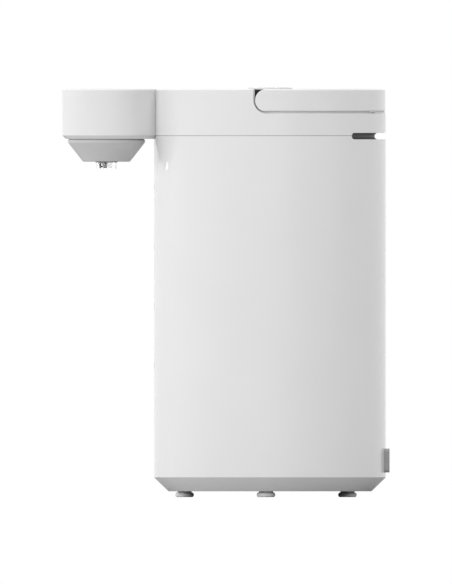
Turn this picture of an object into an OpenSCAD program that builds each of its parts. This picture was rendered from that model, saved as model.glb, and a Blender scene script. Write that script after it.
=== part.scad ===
// Electric thermo pot with a pumped spout head, a hinged lid and a folding bail handle.
// Millimetres, +Z up. The spout points to -X, and the pot stands on z = 0.
// Lengths along X are measured from the axis of the round body, which lies at x = axis_x,
// so that the origin is under the middle of the whole object.

/* [Body] */
// Outer radius of the round body
body_r = 96; // [94:0.5:100]
// Thickness of the outer shell
shell_wall = 1; // [0.8:0.1:1.4]
// Height of the seam between the shell and the upper housing
seam_z = 299.4; // [296:0.2:304]
// Height of the upper housing above the seam
housing_h = 38.6; // [36.6:0.2:42]
// Wall thickness of the plastic mouldings
wall = 2.5; // [2:0.1:2.8]

/* [Head] */
// How far the middle of the round spout head lies in front of the body
head_out = 39.4; // [36:0.2:43]
// Outer radius of the spout head
head_r = 36.6; // [35:0.2:38]
// Radius of the head's two sides, which run in towards the body
side_r = 50; // [46:0.5:56]
// Height of the chamfer round the head's lower edge
head_chamfer = 2.8; // [2.4:0.2:3.2]

/* [Nozzle] */
// How far the nozzle cone lies inside the head's edge
cone_inset = 4.5; // [4:0.1:6]
// Radius of the nozzle cone's lower end
cone_low_r = 19.5; // [18:0.1:21]
// Height of the nozzle cone
cone_h = 18.9; // [17:0.1:21]
// Outer radius of the clear shroud round the outlet
shroud_r = 8.4; // [8.2:0.1:8.8]
// Radius of the outlet bore
outlet_r = 3; // [2.6:0.1:3.4]

/* [Handle] */
// How far the bail lies inside the housing's side
bail_inset = 0.4; // [0.2:0.1:1]
// Thickness of the bail across its arms
bail_t = 11.6; // [11:0.1:12]
// Height of the bail, which is also the width of its round ends
bail_h = 18.9; // [18:0.1:19.2]
// Gap between the bail and its recess
bail_gap = 1.4; // [1:0.1:1.6]
// Distance of the bail's pivot in front of the body axis
pivot_x = 2.9; // [2:0.1:4]
// Radius of the bail's pivot pins
pivot_r = 3; // [2.5:0.1:3.4]

/* [Lid] */
// Width of the housing's top between the lid and the bail's recess
rim_w = 13.5; // [13.3:0.1:15]
// Radius of the lid's push button
button_r = 18.5; // [17:0.1:19]
// How far the button stands above the lid at its middle
button_rise = 2.2; // [2:0.1:2.6]
// Travel of the button, and of the latch bolt that it draws back
button_travel = 2; // [1.6:0.1:2.1]

/* [Tank] */
// Space between the water tank and the outside of the body
tank_gap = 15; // [14.5:0.1:17]
// Height of the tank's floor above the stand
tank_low_z = 58; // [57:0.5:59]

/* [Base] */
// How far the base runs in from the body's side down to its underside
base_inset = 11.9; // [8:0.1:14]
// Height where the base's chamfer meets the shell
chamfer_z = 16.4; // [15:0.2:18]
// Height of the rubber feet
foot_h = 4.8; // [4:0.2:6]
// Radius of each rubber foot
foot_r = 7.7; // [7:0.1:8.5]
// How far each foot's middle lies inside the underside's edge
foot_inset = 16.7; // [15:0.1:18]
// How far the power inlet stands out of the body
inlet_out = 3; // [2.5:0.1:4]

/* [Hidden] */
$fn = 96;

// Colours
shell_tone = [0.89, 0.89, 0.88];
trim_tone = [0.8, 0.8, 0.79];
dark_tone = [0.12, 0.12, 0.13];
steel_tone = [0.7, 0.71, 0.73];
clear_tone = [0.75, 0.85, 0.9, 0.5];
rubber_tone = [0.2, 0.2, 0.2];
brass_tone = [0.8, 0.65, 0.3];
board_tone = [0.15, 0.4, 0.25];

// Sizes that several parts follow
top_z = seam_z + housing_h;
head_x = body_r + head_out;
side_y = side_r - head_r;
cone_r = head_r - cone_inset;
bail_r = body_r - bail_inset;
bail_in_r = bail_r - bail_t;
drum_r = bail_in_r - 1.2;
lid_r = drum_r - rim_w;
tank_r = body_r - tank_gap;
base_low_r = body_r - base_inset;
foot_spacing = base_low_r - foot_inset;

// The body axis, seen from the middle of the object's length
inlet_face_x = body_r + inlet_out;
axis_x = (head_x + head_r - inlet_face_x) / 2;
// A cut runs past the solid's face by this much
cut = 1;
// Depth that is longer than any part is deep
through = 120;

// Base
pan_floor_z = foot_h + wall;
pan_rim_r = body_r - shell_wall - 0.1;
pan_rim_z = chamfer_z + 3.6;
pan_rim_t = 2;
feet_x = -3.3;
foot_round = 1.6;
foot_neck = 1.8;
foot_stem_r = 3;
stand_r = [tank_r - 13, tank_r - 10.5];
screw_ring_r = stand_r[1] + 3.5;
post_r = 3.2;
post_top_z = pan_floor_z + 6.7;
shelf_x = body_r - 11;
shelf_y = 14;
vent_x = 26;
vent_rows = [-30:10:30];

// Shell
shell_top_z = seam_z - 0.3;
shell_in_r = body_r - shell_wall;
window_half = 8;
window_low_z = 72;
window_high_z = seam_z - 37.4;
window_t = 2;

// Slot at the back of the seam, where steam leaves
slot_low_z = seam_z - 3.2;
slot_h = 5.3;
slot_mid_z = slot_low_z + slot_h / 2;
slot_deep_r = body_r - 9.4;
slot_half_angle = 43.5;
vent_half_angle = 50;
vent_r = [slot_deep_r - 1.2, body_r - wall];
vent_z = [seam_z - 4.6, seam_z + 3.9];

// Housing
floor_low_z = vent_z[0] + 1.6;
floor_top_z = floor_low_z + 3.6;
floor_r = slot_deep_r - 2.6;
neck_low_r = lid_r - 7.3;
neck_top_r = lid_r - 2.9;
mouth_r = neck_low_r - 5.5;
spigot_r = shell_in_r - 0.2;
well_z = top_z - 5;
well_r = lid_r + 0.7;
pin_start_y = well_r + 3;
edge_round = 1.2;
panel_r = head_r - 6.6;
panel_t = 1.2;
panel_gap = 0.15;
under_z = seam_z - head_chamfer;
cone_low_z = under_z - cone_h;
cone_gap = 0.8;
outlet_off = 3.2;
tube_r = 4.2;
tube_x = body_r - wall - tube_r - 0.3;
tube_z = top_z - 16;
bend_r = 10;
head_post_y = 14;
head_post_x = head_x - sqrt(pow(cone_r + 3.4, 2) - pow(head_post_y, 2));
control_half = [panel_r - 10, panel_r - 6];
control_post = [panel_r - 15.4, panel_r - 11];
display_half = [panel_r - 19, panel_r - 16];
control_board_z = top_z - 8;
board_t = 1.6;

// Handle
pivot_z = top_z - 0.05 - bail_h / 2;
pin_end_y = bail_r - 4.1;
rail_r = bail_r - 3.6;
rail_gap = 0.3;
plate_r = 13.6;
plate_t = 1.2;
liner_t = 1.5;
liner_half_angle = 65;
liner_z = [pivot_z - 7, pivot_z + 7];
grip_screw_angle = 52;

// Lid
hinge_x = lid_r + 2.7;
hinge_z = top_z - 3;
knuckle_r = 3;
knuckle_half = 19.5;
pocket_half = 20.5;
pocket_r = 4.8;
hinge_pin_r = 1.25;
hinge_block_half = 25;
seal_t = 2.5;
liner_low_z = floor_top_z + seal_t;
liner_low_r = neck_low_r - 2.5;
liner_top_r = neck_top_r - 2.9;
liner_wall = 1.5;
seal_r = [liner_low_r - 3.5, liner_low_r + 0.5];
lid_post_ring = 42;
lid_post_angles = [0, 120, 240];
cup_r = button_r + 0.6;
cup_wall = 2;
cup_floor_z = well_z - button_travel - 3;
button_inner_z = top_z - 1.5;
bolt_half = 6;
bolt_z = [cup_floor_z - 8, cup_floor_z - 5];
nose_z = [cup_floor_z, cup_floor_z + 3];
nose_x = neck_radius(nose_z[0]) - 0.45;
leg_half = 3;
leg_x = [-17, -9];
stem_r = 3;
clip_z = cup_floor_z - cup_wall - 2.2;
steam_cap_x = 22;

// Tank
tank_wall = 0.8;
tank_rim_z = vent_z[0] - tank_wall;
tank_corner_r = 3;
volute_r = 20;
pump_ring_r = stand_r[0] - volute_r - 2.1;
outlet_y = -13;
outlet_x = sqrt(pow(pump_ring_r, 2) - pow(outlet_y, 2));
spout_r = 5;
spout_bore_r = 3.6;
flange_z = [tank_low_z - 8, tank_low_z - 6];
sleeve_r = [tank_r + 2, shell_in_r - 5];
sleeve_top_z = tank_rim_z - 8;

// Heater
heater_x = 20;
heater_r = stand_r[0] - heater_x - 10;
heater_low_z = tank_low_z - 1.5;
coil_ring_r = heater_r - 10;
coil_r = 3.2;
sensor_x = -6;
sensor_y = heater_r + 10;

// Pump
pump_z = [pan_floor_z + 2, tank_low_z - 28, tank_low_z - 12];
chamber_r = 17;
chamber_z = [pump_z[1] + 3, pump_z[2] - 3];
shaft_r = 1.5;
running_gap = 0.05;
delivery_z = (chamber_z[0] + chamber_z[1]) / 2;
delivery_x = outlet_x + volute_r - 2;

// Power board, seen from above, and the parts on it
board_y = 36;
board_x = [volute_r + 6 - outlet_x, sqrt(pow(stand_r[0] - 8, 2) - pow(board_y, 2))];
post_x = [board_x[0] + 4, board_x[1] - 4];
post_y = board_y - 4;
transformer = [28, 22, 20];
relay = [18, 14, 14];
heat_sink = [4, 26, 22];
connector = [10, 20, 5.4];
capacitor_r = 6;
capacitor_h = 18;

// Inlet
inlet_half = 17.8;
inlet_z = [chamfer_z + 4, chamfer_z + 23.8];
inlet_depth = 11;
inlet_mid_z = (inlet_z[0] + inlet_z[1]) / 2;
socket_half = 14.3;
socket_depth = 7;
contact_y = 5;
lead_r = 1.2;
lead_drop_x = board_x[1] - 4;

// Radius of the funnel-shaped neck at a height.
function neck_radius(z) =
    neck_low_r + (neck_top_r - neck_low_r) * (z - floor_top_z) / (well_z - floor_top_z);

// Places a sub-part by the body axis.
module at_axis() {
    translate([axis_x, 0, 0]) children();
}

// Upright cylinder between two heights.
module disc(r, z0, z1) {
    translate([0, 0, z0]) cylinder(r = r, h = z1 - z0);
}

// Upright cone between two heights.
module frustum(r0, r1, z0, z1) {
    translate([0, 0, z0]) cylinder(r1 = r0, r2 = r1, h = z1 - z0);
}

// Upright tube between two heights.
module tube(r_out, r_in, z0, z1) {
    difference() {
        disc(r_out, z0, z1);
        disc(r_in, z0 - cut, z1 + cut);
    }
}

// Cylinder along X from x0 to x1.
module along_x(r, x0, x1) {
    translate([x0, 0, 0]) rotate([0, 90, 0]) cylinder(r = r, h = x1 - x0);
}

// Cylinder along Y from y0 to y1.
module along_y(r, y0, y1) {
    translate([0, y0, 0]) rotate([-90, 0, 0]) cylinder(r = r, h = y1 - y0);
}

// Block between two corners.
module block(low, high) {
    translate(low) cube(high - low);
}

// A side view outline in X and Z, made 2 * half thick across Y.
module side_view(half) {
    translate([0, half, 0]) rotate([90, 0, 0]) linear_extrude(2 * half) children();
}

// Rectangle with round corners, about its middle.
module round_rect(w, h, r) {
    square([w - 2 * r, h], center = true);
    square([w, h - 2 * r], center = true);
    for (x = [-1, 1], y = [-1, 1])
        translate([x * (w / 2 - r), y * (h / 2 - r)]) circle(r);
}

// Upright slot outline with round ends, in Y and Z, cut along X from x0 to x1.
module upright_slot(half, z0, z1, x0, x1) {
    block([x0, -half, z0 + half], [x1, half, z1 - half]);
    for (z = [z0 + half, z1 - half])
        translate([0, 0, z]) along_x(half, x0, x1);
}

// Points on an arc about [cx, cy] from angle a0 to a1.
function arc(cx, cy, r, a0, a1, n = 4) =
    [for (i = [0:n]) [cx + r * cos(a0 + (a1 - a0) * i / n), cy + r * sin(a0 + (a1 - a0) * i / n)]];

// Copies on both sides of the XZ plane.
module both_sides() {
    children();
    mirror([0, 1, 0]) children();
}

// ---- Base ----

module foot_places() {
    for (a = [0:90:270])
        translate([feet_x + foot_spacing * cos(a), foot_spacing * sin(a), 0]) children();
}

module base_screw_places() {
    for (a = [45:90:315])
        rotate([0, 0, a]) translate([screw_ring_r, 0, 0]) children();
}

module board_posts() {
    for (x = post_x, y = [-post_y, post_y])
        translate([x, y, 0]) disc(post_r, pan_floor_z - 0.5, post_top_z);
}

module base_pan() {
    color(shell_tone) at_axis() difference() {
        union() {
            rotate_extrude() polygon([
                [0, foot_h], [base_low_r, foot_h], [body_r, chamfer_z],
                [pan_rim_r, chamfer_z], [pan_rim_r, pan_rim_z], [pan_rim_r - pan_rim_t, pan_rim_z],
                [pan_rim_r - pan_rim_t, chamfer_z + 0.4], [base_low_r - 1, pan_floor_z], [0, pan_floor_z]
            ]);
            board_posts();
            intersection() {
                block([shelf_x, -shelf_y, chamfer_z + cut], [body_r, shelf_y, inlet_z[0]]);
                disc(pan_rim_r, chamfer_z, inlet_z[0]);
            }
        }
        foot_places() disc(foot_stem_r, 0, chamfer_z);
        base_screw_places() disc(1.7, 0, chamfer_z);
        base_screw_places() disc(4, 0, foot_h + 1.2);
        for (y = vent_rows)
            translate([vent_x, y, 0]) floor_vent();
    }
}

// Vent slot through the floor of the base, along X.
module floor_vent() {
    block([-9, -1.25, 0], [9, 1.25, pan_floor_z + cut]);
    for (x = [-9, 9])
        translate([x, 0, 0]) disc(1.25, 0, pan_floor_z + cut);
}

module rubber_foot() {
    neck_r = foot_r - foot_neck;
    rotate_extrude() polygon(concat(
        [[0, 0]], arc(foot_r - foot_round, foot_round, foot_round, -90, 0),
        arc(foot_r - foot_neck, foot_h - 0.9 - foot_neck, foot_neck, 0, 90),
        [[neck_r, foot_h], [foot_stem_r, foot_h], [foot_stem_r, pan_floor_z],
         [foot_stem_r + 1.5, pan_floor_z], [foot_stem_r, pan_floor_z + 2.5], [0, pan_floor_z + 2.5]]
    ));
}

module rubber_feet() {
    color(rubber_tone) at_axis() foot_places() rubber_foot();
}

module base_screws() {
    color(steel_tone) at_axis() base_screw_places() difference() {
        union() {
            disc(3.5, foot_h + 0.1, foot_h + 1.2);
            disc(1.6, foot_h + cut, 17);
        }
        for (a = [0, 90])
            rotate([0, 0, a]) block([-2, -0.45, 0], [2, 0.45, foot_h + 0.8]);
    }
}

// ---- Body ----

// Slot with round ends that runs round the back; its inner end is round too.
module rear_slot(open_r) {
    straight_r = slot_deep_r + slot_h / 2;
    rotate([0, 0, -slot_half_angle]) rotate_extrude(angle = 2 * slot_half_angle) {
        translate([straight_r, slot_low_z]) square([open_r - straight_r, slot_h]);
        translate([straight_r, slot_mid_z]) circle(slot_h / 2);
    }
    for (a = [-slot_half_angle, slot_half_angle])
        rotate([0, 0, a]) translate([0, 0, slot_mid_z]) {
            along_x(slot_h / 2, straight_r, open_r);
            translate([straight_r, 0, 0]) sphere(slot_h / 2);
        }
}

module inlet_outline(x0, x1, grow = 0) {
    translate([x0, 0, inlet_mid_z]) rotate([90, 0, 90]) linear_extrude(x1 - x0)
        round_rect(2 * inlet_half + 2 * grow, inlet_z[1] - inlet_z[0] + 2 * grow, 3 + grow);
}

module body_shell() {
    color(shell_tone) at_axis() difference() {
        tube(body_r, shell_in_r, chamfer_z, shell_top_z);
        upright_slot(window_half + 0.1, window_low_z - 0.1, window_high_z + 0.1, -through, 0);
        inlet_outline(0, through, 0.1);
        rear_slot(through);
    }
}

module level_window() {
    color(clear_tone) at_axis() intersection() {
        tube(body_r - 0.1, body_r - 0.1 - window_t, chamfer_z, shell_top_z);
        upright_slot(window_half, window_low_z, window_high_z, -through, 0);
    }
}

module seam_ring() {
    color(dark_tone) at_axis() difference() {
        tube(body_r - 0.4, shell_in_r - 0.1, shell_top_z, seam_z);
        rear_slot(through);
    }
}

module vent_channel() {
    color(dark_tone) at_axis() difference() {
        rotate([0, 0, -vent_half_angle]) rotate_extrude(angle = 2 * vent_half_angle)
            translate([vent_r[0], vent_z[0]]) square([vent_r[1] - vent_r[0], vent_z[1] - vent_z[0]]);
        rear_slot(through);
    }
}

// ---- Upper housing and spout head ----

function rounded_side(r, z0, z1) =
    concat([[r, z0]], arc(r - edge_round, z1 - edge_round, edge_round, 0, 90));

module rounded_drum(r, z0, z1) {
    rotate_extrude() polygon(concat([[0, z0]], rounded_side(r, z0, z1), [[0, z1]]));
}

// Front half of a form that is round about the head's axis.
module head_front() {
    intersection() {
        translate([-head_x, 0, 0]) children();
        block([-head_x - through, -through, 0], [-head_x, through, 2 * top_z]);
    }
}

// What two round forms share behind the head's axis; each one makes the far side of the head.
module head_sides() {
    intersection() {
        translate([-head_x, side_y, 0]) children();
        translate([-head_x, -side_y, 0]) children();
        block([-head_x, -through, 0], [0, through, 2 * top_z]);
    }
}

module head_block() {
    head_front() rounded_drum(head_r, seam_z, top_z);
    head_sides() rounded_drum(side_r, seam_z, top_z);
}

// Outline of the folded bail's recess, seen from the side, with a margin round the bail.
module recess_view(margin) {
    r = bail_h / 2 + margin;
    translate([-pivot_x, pivot_z]) circle(r);
    translate([-pivot_x, pivot_z - r]) square([through, r + top_z - pivot_z + cut]);
    translate([-pivot_x - r, pivot_z]) square([r + cut, top_z - pivot_z + cut]);
}

module recess(margin, r) {
    difference() {
        side_view(through) recess_view(margin);
        disc(r, seam_z - cut, top_z + 2 * cut);
    }
}

module housing_outside() {
    rounded_drum(body_r, seam_z, top_z);
    head_block();
}

module housing_inside() {
    disc(body_r - wall, seam_z - cut, top_z - wall);
    head_front() disc(head_r - wall, seam_z - cut, top_z - wall);
    head_sides() disc(side_r - wall, seam_z - cut, top_z - wall);
}

module neck() {
    difference() {
        union() {
            frustum(neck_low_r + wall, neck_top_r + wall, floor_top_z - cut, well_z - 1);
            disc(well_r + wall, well_z - wall, top_z - 0.5);
            disc(floor_r, floor_low_z, floor_top_z);
        }
        frustum(neck_low_r, neck_top_r, floor_top_z, well_z);
        disc(neck_top_r, well_z - 0.1, top_z);
    }
}

module head_posts() {
    both_sides() translate([-head_post_x, head_post_y, 0]) children();
}

// Round seat of the handle's pivot, flush in the drum's side, with a margin round the plate.
module pivot_seat(grow) {
    intersection() {
        tube(drum_r, drum_r - plate_t, seam_z, top_z - 0.6 + grow);
        translate([-pivot_x, 0, pivot_z]) along_y(plate_r + grow, -through, through);
        side_view(through) recess_view(rail_gap + grow);
    }
}

module hinge_block() {
    intersection() {
        block([hinge_x - 12, -hinge_block_half, hinge_z - 9], [drum_r, hinge_block_half, top_z]);
        disc(drum_r - 0.5, floor_top_z, top_z);
    }
}

module hinge_pocket() {
    block([0, -pocket_half, well_z], [hinge_x, pocket_half, top_z + cut]);
    block([hinge_x, -pocket_half, hinge_z], [hinge_x + pocket_r, pocket_half, top_z + cut]);
    translate([hinge_x, 0, hinge_z]) along_y(pocket_r, -pocket_half, pocket_half);
}

module upper_housing() {
    color(shell_tone) at_axis() difference() {
        union() {
            difference() {
                housing_outside();
                housing_inside();
            }
            tube(spigot_r, body_r - wall, vent_z[0], seam_z + cut);
            neck();
            hinge_block();
            intersection() {
                recess(bail_gap + wall, drum_r - wall);
                housing_outside();
            }
            both_sides() translate([-pivot_x, 0, pivot_z]) along_y(pivot_r + 2, well_r + 2, drum_r - 1);
            for (x = [-1, 1], y = [-1, 1])
                translate([x * control_post[0] - head_x, y * control_post[1], 0])
                    disc(2.5, control_board_z + board_t, top_z - wall + 0.5);
            head_posts() disc(3.5, seam_z, top_z - wall + 0.5);
        }
        recess(bail_gap, rail_r);
        recess(rail_gap, drum_r);
        pivot_seat(0.1);
        disc(mouth_r, floor_low_z - cut, top_z + cut);
        frustum(neck_low_r, neck_top_r, floor_top_z, well_z + 0.1);
        disc(well_r, well_z, top_z + cut);
        hinge_pocket();
        rear_slot(through);
        both_sides() translate([-pivot_x, 0, pivot_z]) along_y(pivot_r, pin_start_y, through);
        translate([hinge_x, 0, hinge_z]) along_y(hinge_pin_r, -pocket_half - 4, pocket_half + 4);
        translate([-head_x, 0, 0]) disc(panel_r + panel_gap, top_z - panel_t, top_z + cut);
        head_posts() disc(1.3, seam_z - cut, seam_z + 12);
        block([-neck_top_r - 2, -bolt_half - 1, nose_z[0] - 0.5], [0, bolt_half + 1, nose_z[1] + 0.5]);
    }
}

module head_underside() {
    color(shell_tone) at_axis() difference() {
        union() {
            head_front() frustum(head_r - head_chamfer, head_r, under_z, seam_z);
            head_sides() frustum(side_r - head_chamfer, side_r, under_z, seam_z);
        }
        disc(body_r + 0.2, under_z - cut, seam_z + cut);
        translate([-head_x, 0, 0]) disc(tube_r + 1, under_z - cut, seam_z + cut);
        head_posts() disc(1.6, under_z - cut, seam_z + cut);
        head_posts() disc(3.2, under_z - cut, under_z + 1);
    }
}

module underside_screws() {
    color(steel_tone) at_axis() head_posts() {
        disc(2.9, under_z, under_z + 1);
        disc(1.3, under_z + 0.5, seam_z + 10);
    }
}

module control_panel() {
    color(dark_tone) at_axis() translate([-head_x, 0, 0]) disc(panel_r, top_z - panel_t, top_z);
}

module control_board() {
    color(board_tone) at_axis() block(
        [-head_x - control_half[0], -control_half[1], control_board_z],
        [-head_x + control_half[0], control_half[1], control_board_z + board_t]
    );
}

module display_module() {
    color(dark_tone) at_axis() block(
        [-head_x - display_half[0], -display_half[1], control_board_z + board_t],
        [-head_x + display_half[0], display_half[1], top_z - wall]
    );
}

// ---- Nozzle ----

module nozzle_cone() {
    edge_z = under_z - cone_gap;
    band_z = edge_z - 2.3;
    low_round = 1.7;
    edge = 0.5;
    collar_r = [cone_r - 7, cone_r - 4.5];
    hollow_low_z = cone_low_z + 2;
    color(trim_tone) at_axis() translate([-head_x, 0, 0]) difference() {
        union() {
            rotate_extrude() polygon(concat(
                [[0, cone_low_z], [cone_low_r - 0.9, cone_low_z]],
                arc(cone_low_r - 0.9, cone_low_z + low_round, low_round, -80, -35, 3),
                [[cone_r - 0.3, band_z]],
                arc(cone_r - edge, edge_z - edge, edge, 0, 90),
                [[0, edge_z]]
            ));
            disc(collar_r[1], edge_z - cut, under_z);
        }
        rotate_extrude() polygon([
            [0, hollow_low_z], [cone_low_r - 1.5, hollow_low_z], [cone_r - 4.6, band_z - 2],
            [collar_r[0], band_z], [collar_r[0], under_z + cut], [0, under_z + cut]
        ]);
        disc(shroud_r + 0.5, cone_low_z - cut, hollow_low_z + cut);
    }
}

module nozzle_tip() {
    lip_z = cone_low_z - 0.6;
    tip_z = cone_low_z - 5.4;
    collar_z = cone_low_z + 2;
    plug_r = shroud_r + 0.4;
    color(dark_tone) at_axis() translate([-head_x, 0, 0]) difference() {
        union() {
            rotate_extrude() polygon([
                [0, lip_z], [plug_r + 0.4, lip_z], [plug_r + 0.4, cone_low_z], [plug_r, cone_low_z],
                [plug_r, collar_z], [plug_r + 2.4, collar_z], [plug_r + 2.4, collar_z + 1.5],
                [0, collar_z + 1.5]
            ]);
            translate([-outlet_off, 0, 0]) frustum(outlet_r + 0.5, outlet_r + 1.3, tip_z, lip_z + cut);
            disc(tube_r - 1.25, collar_z, collar_z + 12);
        }
        translate([-outlet_off, 0, 0]) disc(outlet_r, tip_z - cut, collar_z + 0.5);
        disc(2.2, collar_z - 0.5, collar_z + 13);
    }
}

module nozzle_shroud() {
    color(clear_tone) at_axis() translate([-head_x, 0, 0])
        tube(shroud_r, shroud_r - 0.8, cone_low_z - 6, cone_low_z - 0.6);
}

// ---- Tank ----

module tank() {
    low = tank_low_z;
    inside_r = tank_r - tank_wall;
    color(steel_tone) at_axis() difference() {
        union() {
            rotate_extrude() polygon(concat(
                [[0, low]],
                arc(tank_r - tank_corner_r, low + tank_corner_r, tank_corner_r, -90, 0, 6),
                [[tank_r, tank_rim_z], [floor_r, tank_rim_z], [floor_r, tank_rim_z + tank_wall],
                 [inside_r, tank_rim_z + tank_wall]],
                arc(tank_r - tank_corner_r, low + tank_corner_r, tank_corner_r - tank_wall, 0, -90, 6),
                [[0, low + tank_wall]]
            ));
            translate([-outlet_x, outlet_y, 0]) disc(spout_r, low - 8, low + tank_wall / 2);
        }
        translate([-outlet_x, outlet_y, 0]) disc(spout_bore_r, low - 9, low + cut);
    }
}

module tank_strainer() {
    low = tank_low_z + tank_wall;
    color(steel_tone) at_axis() translate([-outlet_x, outlet_y, 0]) difference() {
        disc(10, low, low + 2.5);
        disc(8.8, low - cut, low + 1.7);
        for (x = [-6:3:6])
            block([x - 0.6, -5, low], [x + 0.6, 5, low + 3]);
    }
}

module tank_collar() {
    color(trim_tone) at_axis() difference() {
        tube(shell_in_r - 0.2, tank_r + 0.4, sleeve_top_z, vent_z[0]);
        disc(floor_r + 0.2, tank_rim_z, vent_z[0] + cut);
        translate([-tube_x, 0, 0]) disc(tube_r + 0.2, sleeve_top_z - cut, vent_z[0] + cut);
    }
}

module tank_gasket() {
    color(rubber_tone) at_axis() tube(floor_r - 0.5, tank_r - 3, tank_rim_z + tank_wall, floor_low_z);
}

module tank_stand() {
    notch_half = tube_r + 1.3;
    color(trim_tone) at_axis() difference() {
        union() {
            tube(stand_r[1], stand_r[0], pan_floor_z, tank_low_z);
            tube(sleeve_r[1], stand_r[1] - cut, flange_z[0], flange_z[1]);
            base_screw_places() disc(4, pan_floor_z, 20);
        }
        base_screw_places() disc(1.6, pan_floor_z - cut, 17);
        foot_places() disc(foot_stem_r + 2, pan_floor_z - cut, pan_floor_z + 3);
        block([-through, -notch_half, delivery_z - notch_half], [0, notch_half, delivery_z + notch_half]);
        block([-through, -notch_half, flange_z[0] - cut], [-sleeve_r[0] + 3, notch_half, flange_z[1] + cut]);
        block([0, -8, inlet_mid_z - 3], [through, 8, inlet_mid_z + 4]);
    }
}

module insulation_sleeve() {
    notch_half = tube_r + 2;
    color([0.9, 0.88, 0.8]) at_axis() difference() {
        tube(sleeve_r[1], sleeve_r[0], flange_z[1], sleeve_top_z);
        block([-through, -notch_half, 0], [0, notch_half, top_z]);
    }
}

// ---- Heater ----

module heater_plate() {
    color(steel_tone) at_axis() translate([heater_x, 0, 0]) disc(heater_r, heater_low_z, tank_low_z);
}

module heater_coil() {
    mid_z = heater_low_z - coil_r + 0.6;
    color(steel_tone) at_axis() translate([heater_x, 0, 0]) difference() {
        union() {
            rotate([0, 0, 20]) rotate_extrude(angle = 320) translate([coil_ring_r, mid_z]) circle(coil_r);
            for (a = [20, 340])
                rotate([0, 0, a]) translate([coil_ring_r, 0, 0]) disc(coil_r - 1, mid_z - 8, mid_z);
        }
        disc(heater_r, heater_low_z, heater_low_z + 2 * coil_r);
    }
}

module thermal_cutout() {
    color(dark_tone) at_axis() translate([heater_x, 0, 0]) {
        disc(8, heater_low_z - 4, heater_low_z);
        disc(5.5, heater_low_z - 9, heater_low_z - 4);
        both_sides() block([-2, 2.5, heater_low_z - 13], [2, 3.1, heater_low_z - 8]);
    }
}

module temperature_sensor() {
    color(brass_tone) at_axis() translate([sensor_x, sensor_y, 0]) {
        disc(5, tank_low_z - 6, tank_low_z);
        disc(2, tank_low_z - 10, tank_low_z - 6);
    }
}

// ---- Pump ----

module pump_pad() {
    color(rubber_tone) at_axis() translate([-outlet_x, outlet_y, 0]) disc(15, pan_floor_z, pump_z[0]);
}

module pump_motor() {
    color(steel_tone) at_axis() translate([-outlet_x, outlet_y, 0]) difference() {
        disc(14, pump_z[0], pump_z[1]);
        disc(shaft_r + running_gap, pump_z[1] - 12, pump_z[1] + cut);
    }
}

module pump_volute() {
    color(trim_tone) at_axis() difference() {
        union() {
            translate([-outlet_x, outlet_y, 0]) disc(volute_r, pump_z[1], pump_z[2]);
            translate([-outlet_x, outlet_y, 0]) disc(spout_r, pump_z[2] - cut, pump_z[2] + 3.5);
            translate([0, 0, delivery_z]) along_x(tube_r - 1.25, -delivery_x - 10, -delivery_x + 12);
        }
        translate([-outlet_x, outlet_y, 0]) disc(chamber_r, chamber_z[0], chamber_z[1]);
        translate([-outlet_x, outlet_y, 0]) disc(spout_bore_r, chamber_z[1] - cut, pump_z[2] + 4.5);
        translate([-outlet_x, outlet_y, 0]) disc(shaft_r + running_gap, pump_z[1] - cut, chamber_z[0] + cut);
        translate([0, 0, delivery_z]) along_x(2, -delivery_x - 11, -delivery_x + 12);
    }
}

module impeller() {
    color(dark_tone) at_axis() translate([-outlet_x, outlet_y, 0]) {
        disc(shaft_r, pump_z[1] - 10, chamber_z[0] + 2);
        disc(15, chamber_z[0] + 1, chamber_z[0] + 2.4);
        disc(4, chamber_z[0] + 2, chamber_z[0] + 7);
        for (a = [0:60:300])
            rotate([0, 0, a]) block([3, -0.6, chamber_z[0] + 2], [14.6, 0.6, chamber_z[0] + 8]);
    }
}

module inlet_hose() {
    color(rubber_tone) at_axis() translate([-outlet_x, outlet_y, 0])
        tube(spout_r + 2.4, spout_r + 0.2, pump_z[2], tank_low_z);
}

// Quarter bend in the XZ plane, turning from the given angle.
module elbow(x, z, start, r) {
    translate([x, 0, z]) rotate([90, 0, 0]) rotate([0, 0, start])
        rotate_extrude(angle = 90) translate([bend_r, 0]) circle(r);
}

// The water's way from the pump to the nozzle.
module riser_run(r, extra) {
    low_z = delivery_z + bend_r;
    high_z = tube_z - bend_r;
    translate([0, 0, delivery_z]) along_x(r, -tube_x + bend_r, -delivery_x + extra);
    elbow(-tube_x + bend_r, low_z, 180, r);
    translate([-tube_x, 0, 0]) disc(r, low_z, high_z);
    elbow(-tube_x - bend_r, high_z, 0, r);
    translate([0, 0, tube_z]) along_x(r, -head_x + bend_r, -tube_x - bend_r);
    elbow(-head_x + bend_r, high_z, 90, r);
    translate([-head_x, 0, 0]) disc(r, cone_low_z + 3.5 - extra, high_z);
}

module riser_tube() {
    color(clear_tone) at_axis() difference() {
        riser_run(tube_r, 0);
        riser_run(tube_r - 1.2, cut);
    }
}

// ---- Electrics ----

module power_board() {
    color(board_tone) at_axis()
        block([board_x[0], -board_y, post_top_z], [board_x[1], board_y, post_top_z + board_t]);
}

module board_parts() {
    top = post_top_z + board_t;
    left = board_x[0];
    right = board_x[1];
    color(dark_tone) at_axis() {
        translate([right - 42, 5 - board_y, top]) cube(transformer);
        translate([left + 4, 4, top]) cube(relay);
        translate([left + 3, 6 - board_y, top]) cube(heat_sink);
        translate([right - connector[0], -connector[1] / 2, top]) cube(connector);
        for (x = [right - 34, right - 18])
            translate([x, board_y / 2, 0]) disc(capacitor_r, top, top + capacitor_h);
    }
}

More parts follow.
